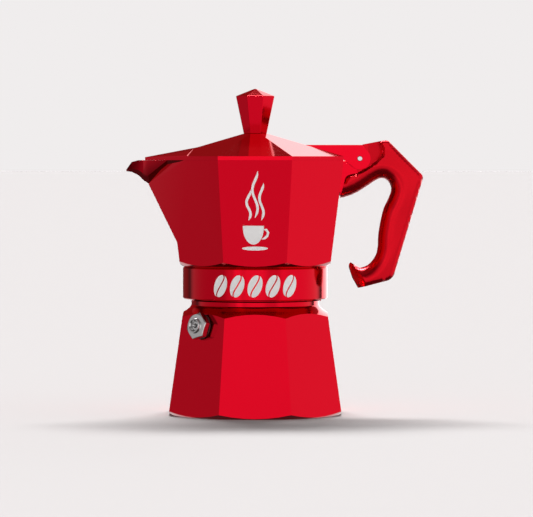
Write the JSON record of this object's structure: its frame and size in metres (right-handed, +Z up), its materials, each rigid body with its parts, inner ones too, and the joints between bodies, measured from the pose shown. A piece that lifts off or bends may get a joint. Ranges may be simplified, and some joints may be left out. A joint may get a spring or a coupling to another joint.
{
  "type": "moka pot",
  "caption": "Stove-top coffee pot: octagonal boiler, screwed upper chamber with beak, hinged lid with knob, bent handle and safety valve.",
  "frame": {"origin": "centre of the boiler's flat underside, on the surface it stands on", "axes": "+Z up along the pot's axis, +X towards the handle, -X towards the beak, -Y the front face"},
  "size_m": [0.1502, 0.0888, 0.1651],
  "materials": {
    "red_metal": "gloss",
    "red_handle": "gloss",
    "aluminium": "satin",
    "steel": "satin",
    "brass": "satin",
    "seal_rubber": "matte"
  },
  "bodies": {
    "boiler": {"boiler": "red_metal", "valve_washer": "seal_rubber", "valve_body": "steel", "valve_spring": "steel", "valve_retainer": "steel", "funnel_cup": "aluminium", "funnel_strainer": "aluminium", "funnel_stem": "aluminium"},
    "piston": {"valve_piston": "steel", "valve_seal": "seal_rubber"},
    "seal": {"gasket": "seal_rubber", "filter_plate": "aluminium"},
    "collector": {"collector": "red_metal", "column": "aluminium", "hinge_pin": "steel", "handle": "red_handle"},
    "lid": {"lid": "red_metal", "knob": "red_handle", "knob_insert": "brass", "knob_washer": "steel", "knob_screw": "steel"}
  },
  "joints": [
    {"name": "thread_lift", "type": "slide", "parent": "boiler", "child": "seal", "axis": [0, 0, 1], "range_m": [0, 0.00768]},
    {"name": "unscrew", "type": "hinge", "parent": "seal", "child": "collector", "pos_m": [0, 0, 0.06], "axis": [0, 0, 1], "range_deg": [0, 864]},
    {"name": "lid_hinge", "type": "hinge", "parent": "collector", "child": "lid", "pos_m": [0.0528, 0, 0.1295], "axis": [0, 1, 0], "range_deg": [0, 100]},
    {"name": "valve_relief", "type": "slide", "parent": "boiler", "child": "piston", "axis": [-0.7002, -0.7002, 0.1393], "range_m": [0, 0.0012], "stiffness_N_per_m": 800, "deforming": ["valve_spring"]}
  ],
  "couplings": [
    {"joint": "thread_lift", "follows": "unscrew", "m_per_rad": 0.0005093}
  ]
}
